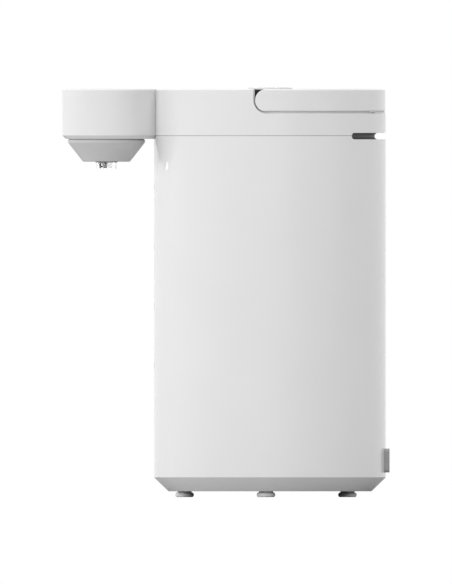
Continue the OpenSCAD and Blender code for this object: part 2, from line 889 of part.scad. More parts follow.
module inlet_frame() {
    face_x = inlet_face_x;
    color(trim_tone) at_axis() difference() {
        inlet_outline(face_x - inlet_depth, face_x);
        translate([face_x - socket_depth, 0, inlet_mid_z]) rotate([90, 0, 90])
            linear_extrude(socket_depth + cut) round_rect(2 * socket_half, 12.6, 2);
        for (y = [-contact_y, contact_y])
            translate([0, y, inlet_mid_z]) along_x(1.5, face_x - inlet_depth - cut, face_x);
    }
}

module inlet_contacts() {
    back_x = inlet_face_x - inlet_depth;
    color(brass_tone) at_axis() both_sides() translate([0, contact_y, inlet_mid_z]) {
        along_x(1.5, back_x - 1, back_x + 6.2);
        along_x(2.5, back_x - 1.5, back_x);
    }
}

module inlet_plates() {
    floor_x = inlet_face_x - socket_depth;
    color(steel_tone) at_axis() both_sides()
        block([floor_x, 8.6, inlet_mid_z - 4.5], [floor_x + 1.6, 13, inlet_mid_z + 4.5]);
}

module inlet_leads() {
    bend = 6;
    color([0.7, 0.2, 0.15]) at_axis() both_sides() translate([0, contact_y, 0]) {
        translate([0, 0, inlet_mid_z]) along_x(lead_r, lead_drop_x + bend, inlet_face_x - inlet_depth - 1.5);
        translate([lead_drop_x + bend, 0, inlet_mid_z - bend]) rotate([90, 0, 0]) rotate([0, 0, 90])
            rotate_extrude(angle = 90) translate([bend, 0]) circle(lead_r);
        translate([lead_drop_x, 0, 0]) disc(lead_r, post_top_z + board_t + connector[2], inlet_mid_z - bend);
    }
}

// ---- Handle ----

module pivot_pins() {
    color(steel_tone) at_axis() both_sides() translate([-pivot_x, 0, pivot_z])
        along_y(pivot_r, pin_start_y, pin_end_y);
}

module pivot_plates() {
    color(dark_tone) at_axis() difference() {
        pivot_seat(0);
        translate([-pivot_x, 0, pivot_z]) along_y(pivot_r + 0.1, -through, through);
    }
}

// Section of the bail, with its outer edges rounded.
function bail_section() = let (lo = pivot_z - bail_h / 2, hi = pivot_z + bail_h / 2, f = 1.4) concat(
    [[bail_in_r, lo]],
    arc(bail_r - f, lo + f, f, -90, 0),
    arc(bail_r - f, hi - f, f, 0, 90),
    [[bail_in_r, hi]]
);

module bail_view() {
    translate([-pivot_x, pivot_z]) circle(bail_h / 2);
    translate([-pivot_x, pivot_z - bail_h / 2]) square([through, bail_h]);
}

module handle_bail() {
    color(shell_tone) at_axis() difference() {
        intersection() {
            rotate([0, 0, 180]) rotate_extrude() polygon(bail_section());
            side_view(through) bail_view();
        }
        both_sides() translate([-pivot_x, 0, pivot_z])
            along_y(pivot_r + running_gap, bail_in_r - 5, pin_end_y + 0.5);
        rotate([0, 0, -liner_half_angle]) rotate_extrude(angle = 2 * liner_half_angle)
            translate([bail_in_r - cut, liner_z[0]]) square([liner_t + cut, liner_z[1] - liner_z[0]]);
        for (a = [-grip_screw_angle, 0, grip_screw_angle])
            rotate([0, 0, a]) translate([0, 0, pivot_z]) along_x(1.4, bail_in_r - cut, bail_in_r + 8);
    }
}

module handle_liner() {
    color(trim_tone) at_axis() difference() {
        rotate([0, 0, -liner_half_angle]) rotate_extrude(angle = 2 * liner_half_angle)
            translate([bail_in_r, liner_z[0]]) square([liner_t, liner_z[1] - liner_z[0]]);
        for (a = [-grip_screw_angle, 0, grip_screw_angle])
            rotate([0, 0, a]) translate([0, 0, pivot_z]) along_x(2.6, bail_in_r - cut, bail_in_r + liner_t + cut);
    }
}

module handle_screws() {
    color(steel_tone) at_axis()
        for (a = [-grip_screw_angle, 0, grip_screw_angle])
            rotate([0, 0, a]) translate([0, 0, pivot_z]) {
                along_x(2.6, bail_in_r + 0.3, bail_in_r + liner_t - 0.1);
                along_x(1.3, bail_in_r + 0.5, bail_in_r + 7.5);
            }
}

// ---- Lid ----

module hinge_pin() {
    color(steel_tone) at_axis() translate([hinge_x, 0, hinge_z])
        along_y(hinge_pin_r, -pocket_half - 4, pocket_half + 4);
}

module lid_post_places() {
    for (a = lid_post_angles)
        rotate([0, 0, a]) translate([lid_post_ring, 0, 0]) children();
}

module lid_cover() {
    f = 0.6;
    color(shell_tone) at_axis() difference() {
        union() {
            rotate_extrude() polygon(concat(
                [[0, well_z], [lid_r - 0.6, well_z]],
                arc(lid_r - f, top_z - f, f, 0, 90),
                [[0, top_z]]
            ));
            block([hinge_x - 14, -knuckle_half, well_z], [hinge_x, knuckle_half, top_z]);
            translate([hinge_x, 0, hinge_z]) along_y(knuckle_r, -knuckle_half, knuckle_half);
            disc(cup_r + cup_wall, cup_floor_z - cup_wall, top_z - cut);
            lid_post_places() disc(3.5, liner_low_z + liner_wall, well_z + cut);
        }
        disc(cup_r, cup_floor_z, top_z + cut);
        disc(stem_r + 0.3, cup_floor_z - 2 * cup_wall, cup_floor_z + cut);
        block([leg_x[0] - 0.4, -leg_half - 0.4, cup_floor_z - 2 * cup_wall],
              [leg_x[1] + 0.4, leg_half + 0.4, cup_floor_z + cut]);
        lid_post_places() disc(1.4, liner_low_z, liner_low_z + 12);
        translate([hinge_x, 0, hinge_z])
            along_y(hinge_pin_r + running_gap, -knuckle_half - cut, knuckle_half + cut);
    }
}

module lid_liner() {
    t = liner_wall;
    color(trim_tone) at_axis() difference() {
        frustum(liner_low_r, liner_top_r, liner_low_z, well_z);
        frustum(liner_low_r - t, liner_top_r - t, liner_low_z + t, well_z + 0.01);
        lid_post_places() disc(1.4, liner_low_z - cut, liner_low_z + 2 * t);
        block([-through, -bolt_half - 0.4, nose_z[0] - 0.4], [0, bolt_half + 0.4, nose_z[1] + 0.4]);
        translate([steam_cap_x, 0, 0]) disc(5, liner_low_z - cut, liner_low_z + 2 * t);
    }
}

module lid_seal() {
    color([0.75, 0.75, 0.73]) at_axis() tube(seal_r[1], seal_r[0], floor_top_z, liner_low_z);
}

module lid_screws() {
    color(steel_tone) at_axis() lid_post_places() {
        disc(3, liner_low_z - 1.2, liner_low_z);
        disc(1.4, liner_low_z - 0.5, liner_low_z + 11);
    }
}

module steam_cap() {
    color(trim_tone) at_axis() translate([steam_cap_x, 0, 0]) difference() {
        frustum(10, 13, liner_low_z - 3.5, liner_low_z);
        disc(8, liner_low_z - 2, liner_low_z + cut);
        for (a = [0:60:300])
            rotate([0, 0, a]) translate([5, 0, 0]) disc(1.2, liner_low_z - 5, liner_low_z);
    }
}

// Round wire wound between two heights.
module coil_spring(mean_r, wire_r, z0, z1, turns) {
    steps = 20 * turns;
    sides = 8;
    pitch = (z1 - z0 - 2 * wire_r) / steps;
    points = [
        for (i = [0:steps], j = [0:sides - 1])
            let (a = 18 * i, b = 360 * j / sides, r = mean_r + wire_r * cos(b))
                [r * cos(a), r * sin(a), z0 + wire_r + pitch * i + wire_r * sin(b)]
    ];
    walls = [
        for (i = [0:steps - 1], j = [0:sides - 1])
            let (k = (j + 1) % sides)
                [sides * i + j, sides * (i + 1) + j, sides * (i + 1) + k, sides * i + k]
    ];
    start_cap = [for (j = [0:sides - 1]) j];
    end_cap = [for (j = [sides - 1:-1:0]) sides * steps + j];
    polyhedron(points, concat(walls, [start_cap, end_cap]));
}

module button_spring() {
    color(steel_tone) at_axis() coil_spring(6.2, 0.5, cup_floor_z, button_inner_z, 5);
}

module lid_button() {
    rim_z = top_z + 1.3;
    crown_r = (button_r * button_r + pow(button_rise - 1.3, 2)) / (2 * (button_rise - 1.3));
    crown_angle = asin(button_r / crown_r);
    leg_top = button_inner_z + 0.5;
    ramp = bolt_z[1] - bolt_z[0] + 1.5;
    color(shell_tone) at_axis() {
        difference() {
            rotate_extrude() polygon(concat(
                [[0, well_z], [button_r, well_z]],
                arc(button_r - 0.7, rim_z - 0.7, 0.7, 0, 60, 3),
                [for (i = [6:-1:0]) [
                    crown_r * sin(crown_angle * i / 6) * 0.98,
                    top_z + button_rise - crown_r + crown_r * cos(crown_angle * i / 6)
                ]]
            ));
            disc(button_r - 2, well_z - cut, button_inner_z);
        }
        disc(stem_r, clip_z, leg_top);
        disc(stem_r + 1, clip_z, clip_z + 2);
        side_view(leg_half) polygon([
            [leg_x[0], leg_top], [leg_x[0], bolt_z[1] - ramp], [leg_x[1] - ramp, bolt_z[1] - ramp],
            [leg_x[1], bolt_z[1]], [leg_x[1], leg_top]
        ]);
    }
}

module latch_bolt() {
    riser_x = leg_x[0] - 10;
    front_x = leg_x[0] - button_travel - 2;
    ramp_x = leg_x[1] + 0.3;
    back_x = -stem_r - 1 - button_travel - 0.9;
    color(steel_tone) at_axis() difference() {
        side_view(bolt_half) polygon([
            [-nose_x + 1.5, nose_z[0]], [-nose_x, nose_z[0] + 1.5], [-nose_x, nose_z[1]],
            [riser_x + 3, nose_z[1]], [riser_x + 3, bolt_z[1]], [back_x, bolt_z[1]],
            [back_x, bolt_z[0]], [riser_x, bolt_z[0]], [riser_x, nose_z[0]]
        ]);
        side_view(leg_half + 0.5) polygon([
            [front_x, bolt_z[0] - cut], [ramp_x - (bolt_z[1] - bolt_z[0]) - cut, bolt_z[0] - cut],
            [ramp_x + cut, bolt_z[1] + cut], [front_x, bolt_z[1] + cut]
        ]);
    }
}

base_pan();
rubber_feet();
base_screws();
body_shell();
level_window();
seam_ring();
upper_housing();
head_underside();
underside_screws();
nozzle_cone();
nozzle_tip();
nozzle_shroud();
control_panel();
control_board();
display_module();
vent_channel();
tank();
tank_strainer();
tank_collar();
tank_gasket();
tank_stand();
insulation_sleeve();
heater_plate();
heater_coil();
thermal_cutout();
temperature_sensor();
pump_pad();
pump_motor();
pump_volute();
inlet_hose();
riser_tube();
power_board();
board_parts();
inlet_frame();
inlet_contacts();
inlet_plates();
inlet_leads();
pivot_pins();
pivot_plates();
hinge_pin();
handle_bail();
handle_liner();
handle_screws();
lid_cover();
lid_liner();
lid_seal();
lid_screws();
steam_cap();
button_spring();
lid_button();
latch_bolt();
impeller();
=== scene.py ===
import math

import bmesh
import bpy
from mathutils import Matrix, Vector


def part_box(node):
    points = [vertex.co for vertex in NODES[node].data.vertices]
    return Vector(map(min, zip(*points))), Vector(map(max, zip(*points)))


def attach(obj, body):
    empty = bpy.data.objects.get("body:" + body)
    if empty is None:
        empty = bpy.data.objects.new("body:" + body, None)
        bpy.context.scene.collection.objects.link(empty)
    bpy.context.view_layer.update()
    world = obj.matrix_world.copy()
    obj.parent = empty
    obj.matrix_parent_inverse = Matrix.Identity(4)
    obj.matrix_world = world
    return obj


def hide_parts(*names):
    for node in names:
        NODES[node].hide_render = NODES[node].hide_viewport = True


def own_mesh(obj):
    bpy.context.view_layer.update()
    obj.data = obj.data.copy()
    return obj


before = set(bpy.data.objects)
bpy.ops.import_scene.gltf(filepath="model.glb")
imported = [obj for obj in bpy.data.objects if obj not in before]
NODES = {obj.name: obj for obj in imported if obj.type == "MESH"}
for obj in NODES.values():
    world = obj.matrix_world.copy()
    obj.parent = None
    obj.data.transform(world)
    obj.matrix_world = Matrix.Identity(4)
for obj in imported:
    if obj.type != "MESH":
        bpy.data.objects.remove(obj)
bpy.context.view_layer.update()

# Electric thermo pot: finishes, printed marks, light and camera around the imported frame.
# Lengths are in metres where a line doesn't say millimetres. +Z is up, the spout points to -X,
# and the camera looks along +Y.

MM = 0.001


# ---- Finishes ----

# The colour sockets of a mix node
MIX_FIRST, MIX_SECOND, MIX_RESULT = 6, 7, 2


def grey(level):
    """The linear colour of a neutral display tone from 0 to 255."""
    return tone(level, level, level)


def tone(red, green, blue):
    """The linear colour of a display colour from 0 to 255."""
    def linear(value):
        share = value / 255
        return share / 12.92 if share <= 0.04045 else ((share + 0.055) / 1.055) ** 2.4
    return (linear(red), linear(green), linear(blue), 1.0)


def scaled(colour, factor):
    return tuple(min(1.0, c * factor) for c in colour[:3]) + (1.0,)


class Finish:
    """A procedural material that is built up from a Principled shader and a few layers."""

    def __init__(self, name, colour, roughness, **sockets):
        self.material = bpy.data.materials.new(name)
        self.material.use_nodes = True
        self.material.diffuse_color = colour
        self.tree = self.material.node_tree
        self.shader = self.tree.nodes["Principled BSDF"]
        self.colour = colour
        self.roughness = roughness
        self.shader.inputs["Base Color"].default_value = colour
        self.shader.inputs["Roughness"].default_value = roughness
        for socket, value in sockets.items():
            self.shader.inputs[socket.replace("_", " ")].default_value = value
        self.place = self.add("ShaderNodeTexCoord").outputs["Object"]
        self.rounded = None

    def add(self, kind, **values):
        node = self.tree.nodes.new(kind)
        for key, value in values.items():
            setattr(node, key, value)
        return node

    def link(self, output, target):
        self.tree.links.new(output, target)

    def noise(self, size, detail=2.0, stretch=None):
        """Noise with features of about that size, stretched along an axis."""
        node = self.add("ShaderNodeTexNoise")
        node.inputs["Scale"].default_value = 1 / size
        node.inputs["Detail"].default_value = detail
        source = self.place
        if stretch:
            mapping = self.add("ShaderNodeMapping")
            mapping.inputs["Scale"].default_value = stretch
            self.link(source, mapping.inputs["Vector"])
            source = mapping.outputs["Vector"]
        self.link(source, node.inputs["Vector"])
        return node.outputs["Fac"]

    def ranged(self, value, low, high, from_low=0.3, from_high=0.7):
        """The value spread from its own range to low and high."""
        node = self.add("ShaderNodeMapRange")
        self.link(value, node.inputs["Value"])
        node.inputs["From Min"].default_value = from_low
        node.inputs["From Max"].default_value = from_high
        node.inputs["To Min"].default_value = low
        node.inputs["To Max"].default_value = high
        return node.outputs["Result"]

    def mixed(self, factor, first, second):
        """Colour mix; first may be an output or a colour."""
        node = self.add("ShaderNodeMix", data_type="RGBA")
        self.link(factor, node.inputs[0])
        if isinstance(first, tuple):
            node.inputs[MIX_FIRST].default_value = first
        else:
            self.link(first, node.inputs[MIX_FIRST])
        node.inputs[MIX_SECOND].default_value = second
        return node.outputs[MIX_RESULT]

    def edges(self, radius):
        """1 on edges within that radius, 0 on open faces; the edges also shade as rounded ones."""
        bevel = self.add("ShaderNodeBevel", samples=6)
        bevel.inputs["Radius"].default_value = radius
        self.rounded = bevel.outputs["Normal"]
        geometry = self.add("ShaderNodeNewGeometry")
        dot = self.add("ShaderNodeVectorMath", operation="DOT_PRODUCT")
        self.link(self.rounded, dot.inputs[0])
        self.link(geometry.outputs["Normal"], dot.inputs[1])
        return self.ranged(dot.outputs["Value"], 1.0, 0.0, 0.8, 0.99)

    def tinted(self, size, spread, rub=None, rub_colour=None):
        """Uneven colour, and paler or darker edges where the surface is rubbed."""
        patches = self.ranged(self.noise(size, 3.0), 0.0, 1.0)
        out = self.mixed(patches, scaled(self.colour, 1 - spread), scaled(self.colour, 1 + spread))
        if rub:
            speckle = self.ranged(self.noise(rub * 2, 3.0), 0.25, 0.75)
            product = self.add("ShaderNodeMath", operation="MULTIPLY")
            self.link(self.edges(rub), product.inputs[0])
            self.link(speckle, product.inputs[1])
            out = self.mixed(product.outputs["Value"], out, rub_colour or scaled(self.colour, 1.12))
        self.link(out, self.shader.inputs["Base Color"])
        return self

    def uneven_gloss(self, size, spread, stretch=None):
        low, high = self.roughness - spread, self.roughness + spread
        out = self.ranged(self.noise(size, 3.0, stretch), max(0.02, low), min(1.0, high))
        self.link(out, self.shader.inputs["Roughness"])
        return self

    def relief(self, *layers):
        """Bump layers, each (size, depth, detail, stretch), finest last."""
        normal = self.rounded
        for size, depth, detail, stretch in layers:
            bump = self.add("ShaderNodeBump")
            bump.inputs["Strength"].default_value = 1.0
            bump.inputs["Distance"].default_value = depth
            self.link(self.noise(size, detail, stretch), bump.inputs["Height"])
            if normal:
                self.link(normal, bump.inputs["Normal"])
            normal = bump.outputs["Normal"]
        self.link(normal, self.shader.inputs["Normal"])
        return self


GLOSSY = 0.85
COAT_ROUGHNESS = 0.09

# How a metal's lines are stretched; the smallest number is the way they run
EVENLY = (1.0, 1.0, 1.0)
FAINTLY_ALONG_Z = (1.0, 1.0, 0.3)
ALONG_Z = (1.0, 1.0, 0.04)
ALONG_X = (0.04, 1.0, 1.0)
AROUND_Z = (0.08, 0.08, 1.0)


def moulded(name, colour, roughness, coat=0.0):
    """Moulded plastic with the fine grain of a spark-eroded tool, under a clear coat if glossy."""
    return (
        Finish(name, colour, roughness, Coat_Weight=coat, Coat_Roughness=COAT_ROUGHNESS)
        .tinted(35 * MM, 0.012, rub=0.4 * MM)
        .uneven_gloss(9 * MM, 0.05)
        .relief((14 * MM, 0.02 * MM, 1.0, None), (0.35 * MM, 0.012 * MM, 2.0, None))
    )


def painted(name, colour, roughness):
    """Powder paint on steel sheet: a soft orange peel over a smooth ground."""
    return (
        Finish(name, colour, roughness, Coat_Weight=GLOSSY, Coat_Roughness=COAT_ROUGHNESS)
        .tinted(60 * MM, 0.010, rub=0.3 * MM)
        .uneven_gloss(18 * MM, 0.04)
        .relief((2.2 * MM, 0.010 * MM, 1.0, None), (0.5 * MM, 0.003 * MM, 2.0, None))
    )


def rubbery(name, colour, roughness=0.75):
    """Rubber, silicone or fibre, with a soft sheen and paler rubbed edges."""
    return (
        Finish(name, colour, roughness, Sheen_Weight=0.15, Sheen_Roughness=0.6)
        .tinted(6 * MM, 0.06, rub=0.4 * MM, rub_colour=scaled(colour, 1.3))
        .uneven_gloss(3 * MM, 0.08)
        .relief((0.6 * MM, 0.02 * MM, 3.0, None))
    )


def drawn_metal(name, colour, roughness, stretch, spread=0.05, metallic=1.0):
    """Rolled, drawn or turned metal, with fine lines along its grain."""
    return (
        Finish(name, colour, roughness, Metallic=metallic)
        .tinted(12 * MM, spread, rub=0.3 * MM, rub_colour=scaled(colour, 1.15))
        .uneven_gloss(2 * MM, 0.08, stretch)
        .relief((0.8 * MM, 0.006 * MM, 3.0, stretch))
    )


def see_through(name, colour, roughness, ior):
    """Clear moulding with faint flow marks."""
    return (
        Finish(name, colour, roughness, Transmission_Weight=1.0, IOR=ior)
        .uneven_gloss(4 * MM, 0.03)
        .relief((3 * MM, 0.01 * MM, 1.0, None))
    )


def touch_glass():
    """Smooth dark panel, nearly even."""
    return (
        Finish("panel_glass", grey(16), 0.08, Coat_Weight=0.6, Coat_Roughness=0.03)
        .tinted(20 * MM, 0.05)
        .uneven_gloss(15 * MM, 0.03)
        .relief((20 * MM, 0.004 * MM, 1.0, None))
    )


def circuit_board():
    """Green lacquer over a woven laminate, with a lattice of copper runs."""
    finish = Finish("board_green", tone(28, 82, 52), 0.38, Coat_Weight=0.4, Coat_Roughness=0.2)
    runs = finish.add("ShaderNodeTexBrick", offset=0.5)
    runs.inputs["Scale"].default_value = 1 / (9 * MM)
    runs.inputs["Mortar Size"].default_value = 0.03
    finish.link(finish.place, runs.inputs["Vector"])
    copper = finish.ranged(runs.outputs["Fac"], 0.0, 0.8, 0.0, 1.0)
    patches = finish.ranged(finish.noise(10 * MM), 0.0, 1.0)
    ground = finish.mixed(patches, tone(24, 74, 46), tone(32, 92, 58))
    finish.link(finish.mixed(copper, ground, tone(52, 120, 72)), finish.shader.inputs["Base Color"])
    return finish.relief((0.5 * MM, 0.01 * MM, 2.0, None))


FINISHES = {
    "base_plastic": moulded("base_plastic", grey(232), 0.5, GLOSSY),
    "nozzle_plastic": moulded("nozzle_plastic", grey(209), 0.45, 0.2),
    "inlet_plastic": moulded("inlet_plastic", grey(166), 0.5),
    "vent_plastic": moulded("vent_plastic", grey(104), 0.55),
    "foot_rubber": rubbery("foot_rubber", grey(240), 0.5),
    "rubber": rubbery("rubber", grey(150)),
    "screw_steel": drawn_metal("screw_steel", grey(200), 0.32, FAINTLY_ALONG_Z),
    "shell_paint": painted("shell_paint", grey(232), 0.42),
    "clear_plastic": see_through("clear_plastic", grey(245), 0.05, 1.49),
    "dark_rubber": rubbery("dark_rubber", grey(120)),
    "housing_plastic": moulded("housing_plastic", grey(232), 0.45, GLOSSY),
    "black_plastic": moulded("black_plastic", grey(30), 0.35),
    "panel_glass": touch_glass(),
    "board_green": circuit_board(),
    "inner_grey": moulded("inner_grey", grey(160), 0.6),
    "tank_steel": drawn_metal("tank_steel", grey(228), 0.4, AROUND_Z, 0.03, 0.3),
    "silicone": rubbery("silicone", grey(205), 0.6),
    "insulation": rubbery("insulation", tone(214, 208, 190), 0.9),
    "cast_aluminium": drawn_metal("cast_aluminium", grey(186), 0.5, EVENLY),
    "heater_sheath": drawn_metal("heater_sheath", tone(120, 116, 110), 0.4, EVENLY),
    "brass": drawn_metal("brass", tone(214, 176, 96), 0.3, ALONG_X),
    "motor_steel": drawn_metal("motor_steel", grey(176), 0.35, ALONG_Z),
    "clear_tube": see_through("clear_tube", grey(240), 0.12, 1.41),
    "lead_sleeve": rubbery("lead_sleeve", tone(170, 44, 36), 0.5),
    "liner_plastic": moulded("liner_plastic", grey(214), 0.5),
    "latch_plastic": moulded("latch_plastic", grey(210), 0.35),
}


def dress_nodes():
    """Each CAD node takes the finish of its own material slot."""
    for node in NODES.values():
        for place in node.material_slots:
            place.material = FINISHES[place.material.name.split(".")[0]].material


# ---- Shapes ----

AXIS = (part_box("body_shell")[0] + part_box("body_shell")[1]) / 2
HEAD = (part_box("control_panel")[0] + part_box("control_panel")[1]) / 2
TURN_STEPS = 96
SHARP_ANGLE = 35


def add_object(name, data):
    thing = bpy.data.objects.new(name, data)
    bpy.context.scene.collection.objects.link(thing)
    return thing


def piece(name, shape, body, slot, smooth=True):
    """A visible piece of the scene that rides on a body, in the finish of a slot."""
    bmesh.ops.recalc_face_normals(shape, faces=shape.faces)
    mesh = bpy.data.meshes.new(name)
    shape.to_mesh(mesh)
    shape.free()
    thing = add_object(name, mesh)
    mesh.materials.append(FINISHES[slot].material)
    if smooth:
        mesh.shade_smooth()
        mesh.set_sharp_from_angle(angle=math.radians(SHARP_ANGLE))
    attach(thing, body)
    return thing


def band(shape, here, there):
    """The faces between two closed loops with the same number of points."""
    for a in range(len(here)):
        b = (a + 1) % len(here)
        shape.faces.new((here[a], here[b], there[b], there[a]))


def skin(shape, loops, closed):
    """The faces over a row of loops, capped where the row has ends."""
    for here, there in zip(loops, loops[1:] + loops[:1] if closed else loops[1:]):
        band(shape, here, there)
    if not closed:
        shape.faces.new(loops[0])
        shape.faces.new(loops[-1])


def rectangle(inner, outer, low, high):
    return [(inner, low), (outer, low), (outer, high), (inner, high)]


def plus_outline(arm, half):
    """A plus sign with arms of that length and half width."""
    return [
        (half, half), (half, arm), (-half, arm), (-half, half), (-arm, half), (-arm, -half),
        (-half, -half), (-half, -arm), (half, -arm), (half, -half), (arm, -half), (arm, half),
    ]


def circle_points(radius, steps):
    turns = [2 * math.pi * step / steps for step in range(steps)]
    return [(radius * math.cos(t), radius * math.sin(t)) for t in turns]


def turned(shape, profile, place, steps=TURN_STEPS, start=0.0, sweep=360.0):
    """A ring or an arc of a closed profile of (radius, height) points round a placed axis."""
    closed = sweep >= 360.0
    rings = []
    for step in range(steps if closed else steps + 1):
        angle = math.radians(start + sweep * step / steps)
        cos, sin = math.cos(angle), math.sin(angle)
        rings.append([shape.verts.new(place(r * cos, r * sin, h)) for r, h in profile])
    skin(shape, rings, closed)


def upright(middle):
    """Places local points round a vertical axis through that point."""
    return lambda x, y, z: Vector((middle.x + x, middle.y + y, z))


def round_axis(radius, turns, height):
    """Points round the body's axis, at those angles in radians."""
    return [Vector((AXIS.x + radius * math.cos(t), radius * math.sin(t), height)) for t in turns]


# ---- Pieces that the solids leave out ----

def cone_gap_shade_ring():
    """Mid grey ring that closes the gap between the nozzle cone and the arm's underside: painted
    shade for the gap's dark line.
    """
    inset, width, depth = 0.8 * MM, 3.4 * MM, 0.8 * MM
    cone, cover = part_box("nozzle_cone"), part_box("head_underside")
    outer = (cone[1].y - cone[0].y) / 2 - inset
    ring = bmesh.new()
    profile = rectangle(outer - width, outer, cover[0].z - depth, cover[0].z)
    turned(ring, profile, upright(HEAD))
    # The ring's mid grey is painted shade for the dark line between the cone and the arm.
    piece("cone_gap_shade_ring", ring, "pot", "inner_grey")


def bail_rest():
    """Soft pad at the back of the recess, on which the folded bail rests."""
    inset, width, depth, gap = 0.9 * MM, 2.9 * MM, 1.2 * MM, 0.15 * MM
    half_angle, steps = 24.0, 24
    bail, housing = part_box("handle_bail"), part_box("upper_housing")
    outer = housing[1].y - inset
    high = bail[0].z - gap
    arc = bmesh.new()
    profile = rectangle(outer - width, outer, high - depth, high)
    turned(arc, profile, upright(AXIS), steps, -half_angle, 2 * half_angle)
    piece("bail_rest", arc, "pot", "liner_plastic")


def level_backing():
    """Pale strip behind the level window."""
    inset, depth, side, end, steps = 2.4 * MM, 0.8 * MM, 2.0 * MM, 0.5 * MM, 12
    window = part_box("level_window")
    outer = AXIS.x - window[0].x - inset
    half = math.degrees(math.asin((window[1].y + side) / outer))
    strip = bmesh.new()
    profile = rectangle(outer - depth, outer, window[0].z + end, window[1].z - end)
    turned(strip, profile, upright(AXIS), steps, 180.0 - half, 2 * half)
    piece("level_backing", strip, "pot", "liner_plastic")


def fill_line():
    """The line inside the tank up to which it is filled."""
    wall_from_stand, below_rim = 9.8 * MM, 12 * MM
    half, width = 0.1 * MM, 0.8 * MM
    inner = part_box("tank_stand")[1].y - wall_from_stand
    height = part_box("tank")[1].z - below_rim
    ring = bmesh.new()
    turned(ring, rectangle(inner - half, inner + half, height, height + width), upright(AXIS))
    piece("fill_line", ring, "pot", "black_plastic")


# ---- The button's spring, copied in place of the rigid one ----


def button_coil():
    """The button's spring, as a copy with its own mesh that rides on the lid."""
    node = NODES["button_spring"]
    coil = add_object("button_coil", node.data.copy())
    coil.matrix_world = node.matrix_world
    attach(coil, "lid")
    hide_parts("button_spring")
    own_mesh(coil)


# ---- Printed marks, in millimetres on their own surface ----

class Print:
    """Marks that stand a hair above one surface, drawn in that surface's own plane."""

    SINK, RISE = 0.02 * MM, 0.04 * MM

    def __init__(self, place):
        self.place = place
        self.shape = bmesh.new()

    def prism(self, outline):
        """A flat mark with that outline, in metres."""
        low = [self.shape.verts.new(self.place(u, v, -self.SINK)) for u, v in outline]
        high = [self.shape.verts.new(self.place(u, v, self.RISE)) for u, v in outline]
        self.shape.faces.new(low)
        self.shape.faces.new(high)
        band(self.shape, low, high)

    def line(self, points, width, closed=False):
        """A line of even width through the points, with mitred corners."""
        points = [Vector(point) * MM for point in points]
        count = len(points)
        rims = []
        for index, point in enumerate(points):
            ways = []
            if index or closed:
                ways.append((point - points[index - 1]).normalized())
            if index + 1 < count or closed:
                ways.append((points[(index + 1) % count] - point).normalized())
            normal = sum((Vector((-way.y, way.x)) for way in ways), Vector((0, 0))).normalized()
            reach = width * MM / 2 / normal.dot(Vector((-ways[0].y, ways[0].x)))
            corners = []
            for side, rise in ((1, -self.SINK), (1, self.RISE), (-1, self.RISE), (-1, -self.SINK)):
                spot = point + normal * reach * side
                corners.append(self.shape.verts.new(self.place(spot.x, spot.y, rise)))
            rims.append(corners)
        skin(self.shape, rims, closed)

    def circle(self, u, v, radius, width, steps=40):
        points = [(u + x, v + y) for x, y in circle_points(radius, steps)]
        self.line(points, width, closed=True)

    def bar(self, start, end, width):
        """A display segment with pointed ends."""
        start, end = Vector(start) * MM, Vector(end) * MM
        along = (end - start).normalized() * width * MM / 2
        across = Vector((-along.y, along.x))
        self.prism([
            start, start + along + across, end - along + across,
            end, end - along - across, start + along - across,
        ])


DISPLAY_SEGMENTS = {
    "a": ((0, 2), (1, 2)), "b": ((1, 1), (1, 2)), "c": ((1, 0), (1, 1)), "d": ((0, 0), (1, 0)),
    "e": ((0, 0), (0, 1)), "f": ((0, 1), (0, 2)), "g": ((0, 1), (1, 1)),
}
LIT_SEGMENTS = ("abcdfg", "abcdefg")
DIGIT_SIZE = (6.4, 6.2)
DIGIT_PITCH = 10.6
DIGIT_LEFT = 1.2
DIGIT_FOOT = 3.0
DIGIT_BAR = 1.5
BAR_GAP = 0.25
DEGREE_R = 1.3
DEGREE_RIGHT = 1.4
DEGREE_DROP = 0.6
DEGREE_LINE = 0.5
KEY_R = 4.6
KEY_LINE = 0.35
KEY_CIRCLE_R = 21.5
KEY_CIRCLE_V = 4.0
KEY_ANGLES = (-63, -21, 21, 63)
RIM_R = 28.4
RIM_LINE = 0.3


def panel_marks():
    """Display digits, four round touch keys and a thin rim line on the touch panel."""
    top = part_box("control_panel")[1].z
    marks = Print(lambda u, v, w: Vector((HEAD.x + v, -u, top + w)))
    for index, lit in enumerate(LIT_SEGMENTS):
        left = -DIGIT_PITCH + index * DIGIT_PITCH + DIGIT_LEFT
        for letter in lit:
            ends = [
                Vector((left + DIGIT_SIZE[0] * x, DIGIT_FOOT + DIGIT_SIZE[1] * y))
                for x, y in DISPLAY_SEGMENTS[letter]
            ]
            gap = (ends[1] - ends[0]).normalized() * BAR_GAP
            marks.bar(ends[0] + gap, ends[1] - gap, DIGIT_BAR)
    degree_v = DIGIT_FOOT + 2 * DIGIT_SIZE[1] - DEGREE_DROP
    marks.circle(DIGIT_PITCH + DEGREE_RIGHT, degree_v, DEGREE_R, DEGREE_LINE, 24)
    for index, angle in enumerate(KEY_ANGLES):
        turn = math.radians(angle)
        u, v = KEY_CIRCLE_R * math.sin(turn), -KEY_CIRCLE_R * math.cos(turn) + KEY_CIRCLE_V
        marks.circle(u, v, KEY_R, KEY_LINE)
        key_icon(marks, index, u, v)
    marks.circle(0, 0, RIM_R, RIM_LINE, TURN_STEPS)
    piece("panel_marks", marks.shape, "pot", "liner_plastic", smooth=False)


